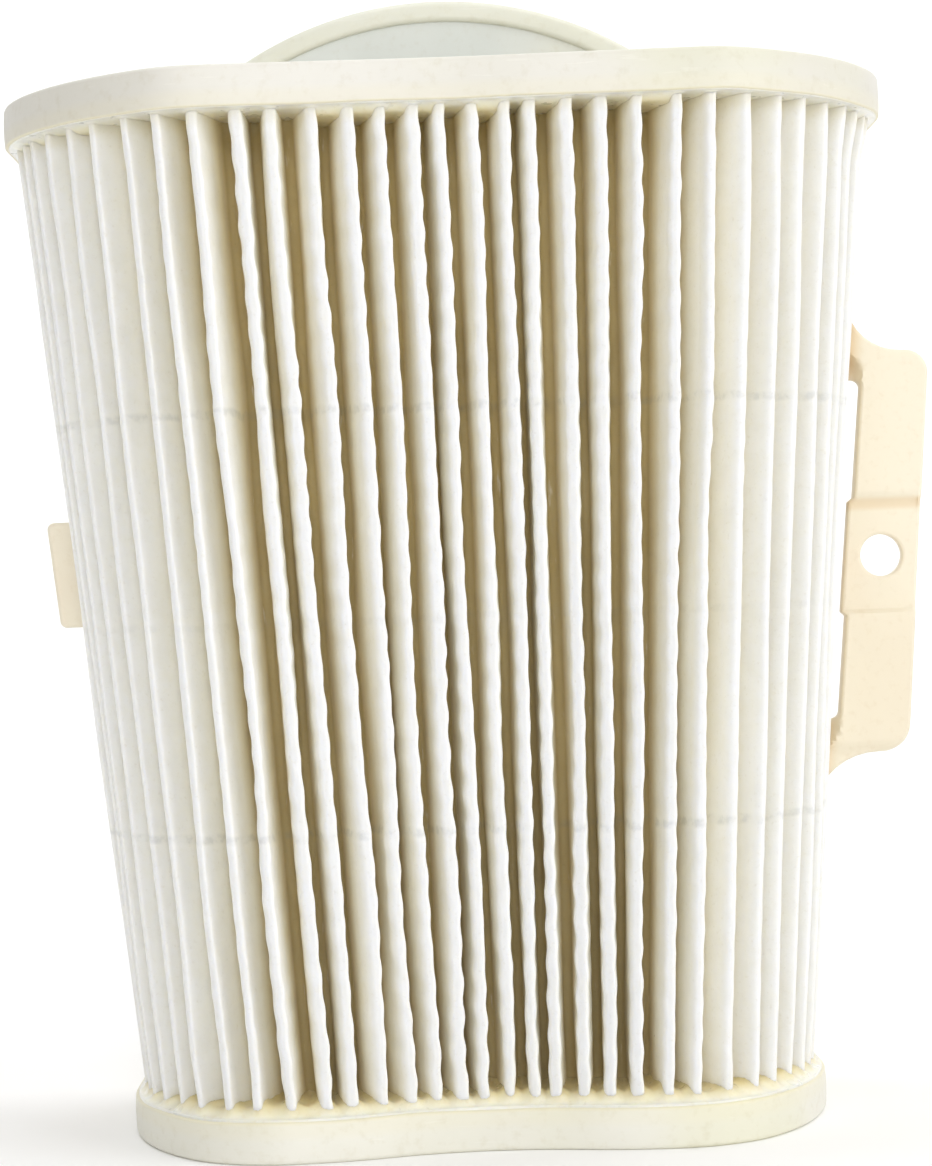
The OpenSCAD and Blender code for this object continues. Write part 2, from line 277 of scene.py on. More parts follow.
class Paint:
    """A procedural material: one Principled shader and the nodes that feed it."""

    def __init__(self, name, coat=0.0, specular=0.4, sheen=0.0):
        self.material = bpy.data.materials.new(name)
        self.material.use_nodes = True
        self.nodes = self.material.node_tree.nodes
        self.links = self.material.node_tree.links
        self.shader = self.nodes["Principled BSDF"]
        self.shader.inputs["Specular IOR Level"].default_value = specular
        self.shader.inputs["Coat Weight"].default_value = coat
        self.shader.inputs["Coat Roughness"].default_value = 0.25
        self.shader.inputs["Sheen Weight"].default_value = sheen
        self.place = self.nodes.new("ShaderNodeTexCoord").outputs["Object"]
        split = self.nodes.new("ShaderNodeSeparateXYZ")
        self.links.new(self.place, split.inputs[0])
        self.x, self.y, self.z = split.outputs

    def put(self, socket, value):
        if isinstance(value, bpy.types.NodeSocket):
            self.links.new(value, socket)
        else:
            socket.default_value = value

    def stretched(self, scale):
        node = self.nodes.new("ShaderNodeMapping")
        node.inputs["Scale"].default_value = scale
        self.links.new(self.place, node.inputs["Vector"])
        return node.outputs[0]

    def noise(self, scale, detail=3.0, rough=0.55, stretch=None, shift=0.0):
        node = self.nodes.new("ShaderNodeTexNoise")
        node.noise_dimensions = "4D"
        node.inputs["W"].default_value = shift
        node.inputs["Scale"].default_value = scale
        node.inputs["Detail"].default_value = detail
        node.inputs["Roughness"].default_value = rough
        self.links.new(self.stretched(stretch) if stretch else self.place, node.inputs["Vector"])
        return node.outputs[0]

    def cells(self, scale, output="Distance", shift=0.0):
        node = self.nodes.new("ShaderNodeTexVoronoi")
        node.voronoi_dimensions = "4D"
        node.inputs["W"].default_value = shift
        node.inputs["Scale"].default_value = scale
        self.links.new(self.place, node.inputs["Vector"])
        return node.outputs[output]

    def attribute(self, name):
        node = self.nodes.new("ShaderNodeAttribute")
        node.attribute_name = name
        return node.outputs["Fac"]

    def calc(self, operation, a, b=0.0, c=0.0):
        node = self.nodes.new("ShaderNodeMath")
        node.operation = operation
        self.put(node.inputs[0], a)
        self.put(node.inputs[1], b)
        if operation == "MULTIPLY_ADD":
            self.put(node.inputs[2], c)
        return node.outputs[0]

    def times(self, a, b):
        return self.calc("MULTIPLY", a, b)

    def span(self, value, low, high, to_low=0.0, to_high=1.0):
        """value between low and high, mapped smoothly and held outside."""
        node = self.nodes.new("ShaderNodeMapRange")
        node.interpolation_type = "SMOOTHSTEP"
        self.put(node.inputs["Value"], value)
        node.inputs["From Min"].default_value = low
        node.inputs["From Max"].default_value = high
        node.inputs["To Min"].default_value = to_low
        node.inputs["To Max"].default_value = to_high
        return node.outputs[0]

    def ramp(self, value, stops):
        node = self.nodes.new("ShaderNodeValToRGB")
        elements = node.color_ramp.elements
        while len(elements) < len(stops):
            elements.new(0.5)
        for element, (place, colour) in zip(elements, stops):
            element.position = place
            element.color = srgb(colour)
        self.links.new(value, node.inputs[0])
        return node.outputs[0]

    def mix(self, factor, a, b, blend="MIX"):
        node = self.nodes.new("ShaderNodeMix")
        node.data_type = "RGBA"
        node.blend_type = blend
        self.put(node.inputs[0], factor)
        for socket, colour in ((node.inputs[6], a), (node.inputs[7], b)):
            self.put(socket, colour if isinstance(colour, bpy.types.NodeSocket) else srgb(colour))
        return node.outputs[2]

    def specks(self, scale, share, size, shift=0.0):
        """Mask of small round specks, in a share of the cells only."""
        chosen = self.nodes.new("ShaderNodeSeparateColor")
        self.links.new(self.cells(scale, "Color", shift), chosen.inputs[0])
        near = self.span(self.cells(scale, "Distance", shift), size * 0.5, size, 1.0, 0.0)
        return self.times(near, self.calc("GREATER_THAN", chosen.outputs[0], 1 - share))

    def let_light_through(self, weight, reach):
        """Light scatters below the skin: distances in millimetres for red, green and blue."""
        self.shader.inputs["Subsurface Weight"].default_value = weight
        self.shader.inputs["Subsurface Radius"].default_value = reach
        self.shader.inputs["Subsurface Scale"].default_value = MM

    def finish(self, colour, roughness, bumps):
        """bumps is a list of (height, strength, distance in millimetres), coarse first."""
        self.put(self.shader.inputs["Base Color"], colour)
        self.put(self.shader.inputs["Roughness"], roughness)
        normal = None
        for height, strength, distance in bumps:
            node = self.nodes.new("ShaderNodeBump")
            node.inputs["Strength"].default_value = strength
            node.inputs["Distance"].default_value = distance * MM
            self.links.new(height, node.inputs["Height"])
            if normal:
                self.links.new(normal, node.inputs["Normal"])
            normal = node.outputs[0]
        self.links.new(normal, self.shader.inputs["Normal"])
        return self.material


def near_height(p, z, reach, wobble=0.0, noise=None):
    """Mask that is 1 at height z in millimetres and fades out within reach."""
    height = p.calc("SUBTRACT", p.z, z * MM)
    if noise is not None:
        height = p.calc("ADD", height, p.times(p.calc("SUBTRACT", noise, 0.5), wobble * MM))
    return p.span(p.calc("ABSOLUTE", height), 0.25 * reach * MM, reach * MM, 1.0, 0.0)


def paper_material():
    p = Paint("filter_paper", specular=0.25, sheen=0.15)
    depth = p.attribute("depth")
    grain = p.noise(1500, 4, 0.65)
    cloud = p.noise(60, 3, 0.5, shift=2.0)
    fibres = p.noise(900, 3, 0.6, stretch=(1.0, 1.0, 0.18), shift=4.0)
    deep = p.calc("ADD", depth, p.times(p.calc("SUBTRACT", cloud, 0.5), 0.16))
    # Painted shade: the paper turns darker and browner towards the bottom of each fold, by the depth
    # attribute; near the tips it stays almost white.
    colour = p.ramp(deep, [
        (0.0, (250, 248, 243)),
        (0.05, (250, 248, 241)),
        (0.16, (251, 249, 240)),
        (0.42, (250, 247, 234)),
        (0.70, (234, 224, 194)),
        (0.88, (204, 189, 148)),
        (1.0, (178, 161, 117)),
    ])
    tint = p.span(p.noise(220, 3, 0.6, shift=7.0), 0.35, 0.7, 0.0, 0.12)
    colour = p.mix(tint, colour, (226, 220, 196), "MULTIPLY")
    colour = p.mix(p.span(grain, 0.55, 0.75, 0.0, 0.22), colour, (214, 206, 182), "MULTIPLY")
    colour = p.mix(p.span(fibres, 0.62, 0.78, 0.0, 0.35), colour, (252, 251, 247))
    wobble = p.noise(130, 2, 0.5, shift=9.0)
    for i, (z, strength) in enumerate(zip(BEADS, (0.22, 0.07, 0.20))):
        line = near_height(p, z, 1.0, 1.6, wobble)
        broken = p.span(p.noise(420, 3, 0.6, shift=11.0 + i), 0.42, 0.66, 0.15, 1.0)
        ink = p.times(p.times(line, broken), strength)
        colour = p.mix(ink, colour, (132, 140, 142))
    uneven_z = p.calc("ADD", p.z, p.times(p.noise(260, 3, 0.6, shift=15.0), 0.003))
    foot = p.times(p.span(uneven_z, 0.0082, 0.0118, 1.0, 0.0), p.span(depth, 0.02, 0.12))
    colour = p.mix(p.times(foot, 0.6), colour, (222, 204, 150))
    # Painted shade: a warm band on the paper just under the top cap.
    shade_under_cap = p.span(uneven_z, 0.1596, 0.1622, 0.0, 0.3)
    colour = p.mix(shade_under_cap, colour, (226, 214, 172))
    specks = p.specks(260, 0.05, 0.09, 3.0)
    colour = p.mix(p.times(specks, 0.5), colour, (120, 112, 92))
    rough = p.span(grain, 0.3, 0.7, 0.78, 0.95)
    p.let_light_through(0.6, (2.0, 1.8, 1.4))
    return p.finish(colour, rough, [(cloud, 0.08, 0.5), (fibres, 0.3, 0.10), (grain, 0.45, 0.08)])


def resin_colour(p, base, shade, stain):
    """Cast polyurethane: clouded colour, faint stains and small dark specks."""
    cloud = p.noise(28, 4, 0.55)
    colour = p.mix(p.span(cloud, 0.35, 0.65), base, shade)
    stains = p.times(p.span(p.noise(16, 2, 0.5, shift=5.0), 0.56, 0.68), 0.5)
    colour = p.mix(stains, colour, stain)
    fine = p.noise(520, 4, 0.6, shift=1.0)
    colour = p.mix(p.span(fine, 0.5, 0.72, 0.0, 0.2), colour, (222, 214, 190), "MULTIPLY")
    specks = p.specks(170, 0.10, 0.055, 1.0)
    colour = p.mix(p.times(specks, 0.62), colour, (110, 98, 76))
    pits = p.specks(420, 0.08, 0.12, 8.0)
    colour = p.mix(p.times(pits, 0.3), colour, (176, 164, 132))
    return colour, fine, p.times(pits, -1.0)


def cap_material(name, base, shade, stain):
    p = Paint(name, coat=0.06, specular=0.42)
    colour, fine, pits = resin_colour(p, base, shade, stain)
    # Warm yellow tint along the rim of the cap's inner face, from the edge attribute.
    colour = p.mix(p.times(p.attribute("edge"), 0.5), colour, (232, 221, 172))
    streak = p.noise(150, 3, 0.6, stretch=(1.0, 1.0, 9.0), shift=6.0)
    scuffs = p.span(p.noise(340, 2, 0.7, stretch=(0.25, 1.0, 3.0), shift=12.0), 0.64, 0.70)
    rough = p.calc("ADD", p.span(p.noise(70, 3, 0.5, shift=3.0), 0.3, 0.7, 0.42, 0.58),
                   p.times(scuffs, 0.15))
    colour = p.mix(p.times(scuffs, 0.12), colour, (250, 248, 240))
    return p.finish(colour, rough, [(streak, 0.18, 0.25), (fine, 0.2, 0.06), (pits, 0.5, 0.12)])


def pool_material(name):
    p = Paint(name, coat=0.5, specular=0.5)
    thick = p.attribute("thick")
    cloud = p.noise(240, 3, 0.6)
    level = p.calc("ADD", thick, p.times(p.calc("SUBTRACT", cloud, 0.5), 0.5))
    colour = p.ramp(level, [
        (0.0, (246, 243, 227)),
        (0.35, (241, 233, 205)),
        (0.75, (229, 216, 173)),
        (1.0, (215, 198, 148)),
    ])
    fine = p.noise(900, 4, 0.6, shift=2.0)
    colour = p.mix(p.span(fine, 0.5, 0.75, 0.0, 0.25), colour, (226, 212, 168), "MULTIPLY")
    bubbles = p.specks(700, 0.35, 0.2, 4.0)
    colour = p.mix(p.times(bubbles, 0.35), colour, (246, 238, 210))
    rough = p.span(cloud, 0.3, 0.7, 0.26, 0.42)
    p.let_light_through(0.5, (2.4, 2.0, 1.1))
    return p.finish(colour, rough, [(cloud, 0.12, 0.3), (fine, 0.15, 0.05), (bubbles, 0.3, 0.08)])


def bracket_shade(p):
    """Mask of painted shade on the bracket: under the pad's upper step and on the two end posts, where they
    go back behind the pleats.
    """
    right = p.span(p.x, 0.060, 0.062)
    step = p.times(near_height(p, PAD_HIGH - 0.4, 1.5), 0.45)
    rise = (TOP_HALF - LOW_HALF) / (HIGH_Z - LOW_Z)
    side = p.calc("MULTIPLY_ADD", p.z, -rise, -(LOW_HALF - rise * LOW_Z) * MM)
    out = p.calc("ADD", p.x, side)
    close = p.span(out, 0.0005, 0.0042, 1.0, 0.0)
    high = p.span(p.z, (SLOT_HIGH - 1.5) * MM, (SLOT_HIGH + 1.5) * MM)
    low = p.span(p.z, (SLOT_LOW - 1.5) * MM, (SLOT_LOW + 1.0) * MM, 1.0, 0.0)
    posts = p.times(close, p.calc("MAXIMUM", high, low))
    return p.times(right, p.calc("MAXIMUM", step, posts))


def moulded_material(name, base, shade, warm, roughness=(0.36, 0.5), fine_scale=700, shaded=False):
    """Moulded plastic: flow clouds, warm shrink marks and a fine satin grain."""
    p = Paint(name, coat=0.05, specular=0.42)
    flow = p.noise(34, 3, 0.5, stretch=(1.0, 1.0, 0.45))
    colour = p.mix(p.span(flow, 0.35, 0.68), base, shade)
    blush = p.span(p.noise(26, 2, 0.5, shift=4.0), 0.48, 0.7, 0.0, 0.6)
    colour = p.mix(blush, colour, warm)
    fine = p.noise(fine_scale, 4, 0.6, shift=2.0)
    colour = p.mix(p.span(fine, 0.5, 0.75, 0.0, 0.16), colour, (224, 210, 184), "MULTIPLY")
    specks = p.specks(210, 0.10, 0.05, 6.0)
    colour = p.mix(p.times(specks, 0.6), colour, (128, 108, 80))
    if shaded:
        # Painted shade, orange-brown, under the pad's step and on the end posts.
        colour = p.mix(bracket_shade(p), colour, (218, 190, 146))
    worn = p.span(p.noise(300, 2, 0.7, stretch=(1.0, 1.0, 0.2), shift=8.0), 0.63, 0.72)
    rough = p.calc("ADD", p.span(p.noise(90, 3, 0.5, shift=9.0), 0.3, 0.7, *roughness),
                   p.times(worn, 0.12))
    return p.finish(colour, rough, [(flow, 0.15, 0.5), (fine, 0.22, 0.05)])


def glue_material():
    p = Paint("hot_melt_glue", coat=0.35, specular=0.5)
    cloud = p.noise(180, 3, 0.6)
    colour = p.mix(p.span(cloud, 0.35, 0.65), (226, 214, 176), (200, 180, 124))
    fine = p.noise(800, 3, 0.6, shift=3.0)
    bubbles = p.specks(600, 0.3, 0.2, 2.0)
    colour = p.mix(p.times(bubbles, 0.4), colour, (244, 238, 214))
    return p.finish(colour, p.span(cloud, 0.3, 0.7, 0.22, 0.42),
                    [(cloud, 0.4, 0.3), (fine, 0.2, 0.05), (bubbles, 0.4, 0.08)])


PAPER = paper_material()
CAP_TOP = cap_material("cap_resin_upper", (224, 221, 213), (218, 215, 205), (216, 215, 188))
CAP_LOW = cap_material("cap_resin_lower", (232, 230, 220), (227, 225, 213), (223, 221, 194))
POOL = pool_material("resin_pool_amber")
FRAME = moulded_material("frame_cream", (235, 227, 208), (230, 220, 199), (233, 216, 193), shaded=True)
PLATE = moulded_material("plate_cool_grey", (212, 215, 210), (204, 208, 202), (216, 214, 197))
SEAL = cap_material("seal_resin", (223, 224, 214), (217, 218, 206), (214, 213, 188))
CAGE = moulded_material("cage_grey_white", (214, 212, 202), (204, 202, 192), (216, 208, 184))
GLUE = glue_material()


# ---- the folded paper

# Shape of the pleats, in millimetres. A lobe is one of the two round parts of the front.
TIP_HALF, TIP_HALF_LESS = 1.04, 0.28        # half width of an outer fold, and how much less on a lobe
SHOULDER_X, SHOULDER_X_MORE = 0.52, 0.38    # width of the rounding on a fold's left, more off the lobe
SHOULDER_Y, SHOULDER_Y_MORE = 0.70, 1.60    # its depth
CORNER = 0.42                               # radius of the crisp corner on a fold's right
SCALLOP, SCALLOP_PERIOD = 0.095, 5.4        # crimp waves along the folds
FOLD_FORWARD = 0.6                          # the troughs stand this far in front of the full depth
PLEAT_LEAN, LOBE_LEAN = 0.85, 0.7           # sideways lean of the pleats, the other way on the left lobe
SLIMMER = 0.9                               # how far the right side is drawn in towards the top
TROUGH = [(-0.75, -0.85), (-0.30, -0.50), (0.30, -0.50), (0.75, -0.85)]
FLANK_STEPS = np.array([0.05, 0.13, 0.25, 0.42, 0.62, 0.84])
PAPER_SKIN = PAPER_T - 0.05                 # thickness of the sheet


def media_profile(rng, z):
    """Outer side of the folded sheet: points [row, column, xy] and the depth of each column."""
    m = np.clip((z - LOW_Z) / (HIGH_Z - LOW_Z), 0, 1)[:, None, None]

    def between(low, top):
        mixed = [a[None] * (1 - m) + b[None] * m for a, b in zip(low, top)]
        for i in (1, 2):
            mixed[i] = mixed[i] / np.linalg.norm(mixed[i], axis=-1, keepdims=True)
        return mixed

    count = len(TOP_SHARE)
    free = smooth((z - LOW_Z) / 10)[:, None] * smooth((HIGH_Z - z) / 10)[:, None]
    middle, along, inward = between(LOW_EDGE.tip(LOW_SHARE), TOP_EDGE.tip(TOP_SHARE))
    low_mid = (LOW_SHARE[:-1] + LOW_SHARE[1:]) / 2
    top_mid = (TOP_SHARE[:-1] + TOP_SHARE[1:]) / 2
    f_middle, f_along, f_inward = between(
        LOW_EDGE.fold(low_mid, PLEAT_D - FOLD_FORWARD), TOP_EDGE.fold(top_mid, PLEAT_D - FOLD_FORWARD)
    )
    # Slow sideways wander and in-and-out wander of each pleat, and its own width.
    sway = 0.20 * curves_along(rng, z, count, 26.0) * free
    sink = 0.16 * curves_along(rng, z, count, 34.0) * free + 0.10 * rng.normal(0, 1, count)
    sink = np.clip(sink, -0.25, 0.45)
    # The right side is a little slimmer towards the top.
    sink = sink + SLIMMER * smooth((TOP_SHARE - 0.62) / 0.12)[None] * free * smooth((z - 25) / 70)[:, None]
    lobe = smooth((np.abs(TOP_SHARE) - 0.28) / 0.22)
    half = (TIP_HALF - TIP_HALF_LESS * lobe) * (1 + 0.05 * rng.normal(0, 1, count))[None]
    half = half + 0.05 * curves_along(rng, z, count, 18.0)

    def spread(values):
        return np.broadcast_to(values, half.shape)

    # An outer fold has a soft shoulder on its left and a crisp corner on its right.
    lean = smooth((TOP_SHARE + 0.62) / 0.35)
    left_u = spread((SHOULDER_X + SHOULDER_X_MORE * lean) * (1 + 0.10 * rng.normal(0, 1, count)))
    left_v = spread((SHOULDER_Y + SHOULDER_Y_MORE * lean) * (1 + 0.12 * rng.normal(0, 1, count)))
    left_u = np.minimum(left_u, half)
    right_r = spread(CORNER + 0.04 * rng.normal(0, 1, count))
    # The crimping of the paper shows as small scallops along both edges of every pleat.
    scallops = []
    for side in (0, 1):
        phase = rng.uniform(0, 2 * math.pi, count)
        drift = 0.9 * curves_along(rng, z, count, 22.0)
        size = (SCALLOP + 0.03 * curves_along(rng, z, count, 15.0)) * (1 - 0.72 * lobe)
        wave = np.sin(2 * math.pi * z[:, None] / SCALLOP_PERIOD + phase[None] + drift)
        scallops.append(size * wave + 0.03 * curves_along(rng, z, count, 2.2))
    tips = []
    for a in np.radians([0, 18, 36, 54, 72, 90]):
        tips.append((
            -(half - left_u + left_u * math.cos(a)) - scallops[0],
            left_v * (1 - math.sin(a)),
        ))
    flat = 2 * half - left_u - right_r
    for share, crown in ((0.3, 0.02), (0.7, -0.05)):
        tips.append((
            -half + left_u + share * flat + 0.5 * (scallops[1] - scallops[0]),
            spread(crown),
        ))
    for a in np.radians([90, 60, 30, 0]):
        tips.append((half - right_r + right_r * math.cos(a) + scallops[1], right_r * (1 - math.sin(a))))
    tip_points = np.stack([
        middle + (u + sway)[..., None] * along + (v + sink)[..., None] * inward for u, v in tips
    ], 2)
    tip_depths = np.stack([spread(v) for _, v in tips], 2)
    # Inner folds: a narrow rounded trough on the outer side of the sheet.
    pleat_lean = PLEAT_LEAN * smooth((top_mid + 0.32) / 0.2) * (1 - smooth((top_mid - 0.5) / 0.25))
    pleat_lean -= LOBE_LEAN * (1 - smooth((top_mid + 0.50) / 0.22)) * smooth((top_mid + 0.95) / 0.2)
    f_sway = 0.15 * curves_along(rng, z, count - 1, 20.0) * free - pleat_lean[None]
    fold_points = np.stack([
        f_middle + (u + f_sway)[..., None] * f_along + v * f_inward for u, v in TROUGH
    ], 2)
    # Flanks between them, slightly bowed.
    t = FLANK_STEPS

    def flank(a, b, bow):
        run = b - a
        across = np.stack([-run[..., 1], run[..., 0]], -1)
        across /= np.linalg.norm(across, axis=-1, keepdims=True)
        pts = a[:, :, None] * (1 - t)[:, None] + b[:, :, None] * t[:, None]
        shape = np.sin(np.pi * t)[None, None] * bow[..., None]
        return pts + shape[..., None] * across[:, :, None]

    bow_r = 0.16 * curves_along(rng, z, count - 1, 30.0) * free
    bow_l = 0.16 * curves_along(rng, z, count - 1, 30.0) * free
    down = flank(tip_points[:, :-1, -1], fold_points[:, :, 0], bow_r)
    up = flank(tip_points[:, 1:, 0], fold_points[:, :, -1], bow_l)[:, :, ::-1]
    down_depth = 0.6 + (PLEAT_D - 1.5) * t
    rows = len(z)
    parts, depth = [], []
    for k in range(count):
        parts.append(tip_points[:, k])
        depth.append(tip_depths[:, k])
        if k < count - 1:
            for block, d in (
                (down[:, k], down_depth),
                (fold_points[:, k], np.full(4, PLEAT_D - 0.5)),
                (up[:, k], down_depth[::-1]),
            ):
                parts.append(block)
                depth.append(np.broadcast_to(d, (rows, len(d))))
    sheet = np.concatenate(parts, 1)
    depth = np.concatenate(depth, 1)
    # The two end leaves run inwards along the side flanges of the frame.
    for side in (-1, 1):
        reach = side * (LOW_EDGE.side_x * (1 - m[:, :, 0]) + TOP_EDGE.side_x * m[:, :, 0] - RIM - PLEAT_D)
        start = sheet[:, 0] if side < 0 else sheet[:, -1]
        s = np.array([1.0, 0.75, 0.5, 0.25])
        xs = start[:, 0][:, None] * (1 - s) + reach * s
        ys = np.full_like(xs, LEAF_Y - 0.05)
        leaf = np.stack([xs, ys], -1)
        d = np.broadcast_to(1 + 11 * s, xs.shape)
        if side < 0:
            sheet, depth = np.concatenate([leaf, sheet], 1), np.concatenate([d, depth], 1)
        else:
            sheet, depth = np.concatenate([sheet, leaf[:, ::-1]], 1), np.concatenate([depth, d[:, ::-1]], 1)
    return sheet, depth


def build_media():
    rng = np.random.default_rng(11)
    step = 1.0
    z = np.arange(4.5, BODY_H - 4.4, step)
    outer, depth = media_profile(rng, z)
    tangent = np.gradient(outer, axis=1)
    tangent /= np.linalg.norm(tangent, axis=-1, keepdims=True) + 1e-9
    inward = np.stack([-tangent[..., 1], tangent[..., 0]], -1)
    inner = outer + PAPER_SKIN * inward
    rows, columns = outer.shape[:2]
    heights = np.broadcast_to(z[:, None, None], (rows, columns, 1))
    points = np.concatenate([
        np.concatenate([outer, heights], -1).reshape(-1, 3),
        np.concatenate([inner, heights], -1).reshape(-1, 3),
    ])
    # Share of the pleat depth at each point; the paper material paints shade in the folds from it.
    shade = np.concatenate([depth.ravel(), depth.ravel()]) / PLEAT_D
    make_piece("media_paper", points, sheet_faces(rows, columns), ["pleated_media"],
               PAPER, {"depth": shade}, 60)
    return outer, z


media_outer, media_z = build_media()


# ---- end caps

def build_cap(name, node, edge, material, seed, upside_down):
    """Cast cap with softly rounded edges and a faintly uneven skin.

    Each row of the profile holds the inset from the outline, the height and how strongly the edge is tinted
    warm yellow.
    """
    rng = np.random.default_rng(seed)
    count = 720
    loop = edge.cap_loop(count)
    normal = loop_normals(loop)
    outer_r, rim_r = (0.8, 0.35) if upside_down else (0.9, 0.6)
    profile = [(2.6, 0.0, 0.0)]
    for a in np.radians(np.arange(0, 91, 15)):
        profile.append((outer_r * (1 - math.sin(a)), outer_r * (1 - math.cos(a)), 0.0))
    for share in (0.25, 0.5, 0.75):
        bulge = -0.10 * math.sin(math.pi * share)
        profile.append((bulge, outer_r + (CAP_T - outer_r - rim_r) * share, 0.25 * (share > 0.6)))
    for a in np.radians(np.arange(0, 91, 15)):
        inset, z = rim_r * (1 - math.cos(a)), CAP_T - rim_r * (1 - math.sin(a))
        profile.append((inset, z, 0.3 + 0.7 * math.sin(a)))
    profile.append((1.1, CAP_T, 0.8))
    profile.append((2.6, CAP_T, 0.5))
    rings, edge_mark = [], []
    for inset, z, mark in profile:
        ring = loop + inset * normal
        rings.append(np.column_stack([ring, np.full(count, z)]))
        edge_mark.append(np.full(count, mark))
    rings = np.array(rings)
    wave = 0.10 * noise_2d(rng, loop[:, 0], loop[:, 1], 14.0)
    wave = wave + 0.03 * noise_2d(rng, loop[:, 0], loop[:, 1], 3.5)
    rings[:, :, :2] += wave[None, :, None] * normal[None]
    lift = 0.10 * noise_2d(rng, loop[:, 0], loop[:, 1], 11.0)
    rings[:, :, 2] += (rings[:, :, 2] / CAP_T) ** 2 * lift[None]
    faces = grid_faces(len(profile), count, wrap=True)
    points = [rings.reshape(-1, 3)]
    marks = [np.concatenate(edge_mark)]
    total = len(profile) * count
    centre = np.array([0.0, 2.0])
    for base, z, outward in ((0, 0.0, True), ((len(profile) - 1) * count, CAP_T, False)):
        rim_ring = points[0][base:base + count]
        previous = base
        for scale in (0.96, 0.9, 0.8, 0.66, 0.5, 0.34, 0.18):
            xy = centre + (rim_ring[:, :2] - centre) * scale
            h = z + 0.05 * noise_2d(np.random.default_rng(seed + 7), xy[:, 0], xy[:, 1], 9.0)
            points.append(np.column_stack([xy, np.maximum(h, 0.0) if outward else h]))
            marks.append(np.zeros(count))
            for i in range(count):
                j = (i + 1) % count
                quad = (previous + i, previous + j, total + j, total + i)
                faces.append(quad[::-1] if outward else quad)
            previous = total
            total += count
        points.append(np.array([[centre[0], centre[1], z]]))
        marks.append(np.zeros(1))
        for i in range(count):
            tri = (previous + i, previous + (i + 1) % count, total)
            faces.append(tri[::-1] if outward else tri)
        total += 1
    points = np.concatenate(points)
    if upside_down:
        points[:, 2] = BODY_H - points[:, 2]
        faces = [f[::-1] for f in faces]
    make_piece(name, points, faces, [node], material, {"edge": np.concatenate(marks)}, 50)


build_cap("cap_lower", "bottom_end_cap", LOW_EDGE, CAP_LOW, 21, False)
build_cap("cap_upper", "top_end_cap", TOP_EDGE, CAP_TOP, 22, True)


# ---- resin that rose between the pleats

def build_resin(name, edge, shares, seed, top):
    """Skin of resin between the feet of the pleats, with a meniscus up the paper."""
    rng = np.random.default_rng(seed)
    row = np.argmin(np.abs(media_z - ((HIGH_Z - 2.0) if top else (LOW_Z + 2.0))))
    line = media_outer[row]
    fine = np.concatenate([line[:-1] + (line[1:] - line[:-1]) * t for t in (0.0, 0.25, 0.5, 0.75)])
    tree = kdtree.KDTree(len(fine))
    for i, p in enumerate(fine):
        tree.insert((p[0], p[1], 0.0), i)
    tree.balance()
    # A grid of points: shares of the outline across, distances inwards from the folds' tips down.
    columns = 900
    f = np.linspace(-0.997, 0.997, columns)
    v = np.concatenate([np.linspace(-1.5, -0.9, 7), np.linspace(-0.7, 3.0, 19), np.linspace(3.5, 12.0, 10)])
    middle, _, inward = edge.tip(f)
    h = edge.soft_heading(f)
    soft = np.stack([-np.sin(h), np.cos(h)], -1)
    blend = smooth(v / 4.0)[:, None, None]
    direction = inward[None] * (1 - blend) + soft[None] * blend
    xy = middle[None] + v[:, None, None] * direction
    near = np.array([tree.find((p[0], p[1], 0.0))[2] for p in xy.reshape(-1, 2)]).reshape(len(v), columns)
    # Each gap between two pleats has its own level, and some hang lower under the top cap.
    pocket = np.clip(np.searchsorted(shares, f), 0, len(shares))
    if top:
        level = rng.uniform(0.0, 0.45, len(shares) + 1)
        level[15:21] += rng.uniform(0.3, 1.3, 6)
        level[rng.uniform(0, 1, len(level)) > 0.85] += 0.6
        climb, climb_reach = 0.3, 0.35
    else:
        level = rng.uniform(0.9, 1.8, len(shares) + 1)
        climb, climb_reach = 0.95, 0.7
    window = np.hanning(13) / np.hanning(13).sum()
    smoothed = np.convolve(np.pad(level[pocket], 6, "edge"), window, "valid")
    body_start = 0.8 if top else 0.35
    body = smoothed[None] / (1 + np.exp(-(v[:, None] - body_start) / 0.5))
    fade = 1 / (1 + np.exp(-(v[:, None] + 0.55) / 0.2))
    meniscus = climb * np.exp(-near / climb_reach) * fade
    lumps = 0.07 * noise_2d(rng, xy[..., 0], xy[..., 1], 2.4)
    lumps = lumps + 0.02 * noise_2d(rng, xy[..., 0], xy[..., 1], 1.1)
    skirt = -0.3 * (1 - smooth((v[:, None] + 1.42) / 0.2))
    film_t = 0.1 if top else 0.26
    film = film_t * smooth((v[:, None] + 1.4) / 0.3)
    height = body * (1 + lumps) + meniscus * (1 + lumps) + film + skirt
    height[0] = height[:, 0] = height[:, -1] = -0.28
    upper = np.concatenate([xy, height[..., None]], -1)
    lower = np.concatenate([xy, np.full(height.shape + (1,), -0.3)], -1)
    points = np.concatenate([upper.reshape(-1, 3), lower.reshape(-1, 3)])
    points[:, 2] += CAP_T
    faces = sheet_faces(len(v), columns)
    if top:
        points[:, 2] = BODY_H - points[:, 2]
        faces = [q[::-1] for q in faces]
    thick = np.clip(height / 2.6, 0, 1)
    thick = np.concatenate([thick.ravel(), thick.ravel()])
    make_piece(name, points, faces, [], POOL, {"thick": thick}, 70)


build_resin("resin_pool_lower", LOW_EDGE, LOW_SHARE, 31, False)
build_resin("resin_pool_upper", TOP_EDGE, TOP_SHARE, 32, True)


# ---- flat mouldings with rounded edges

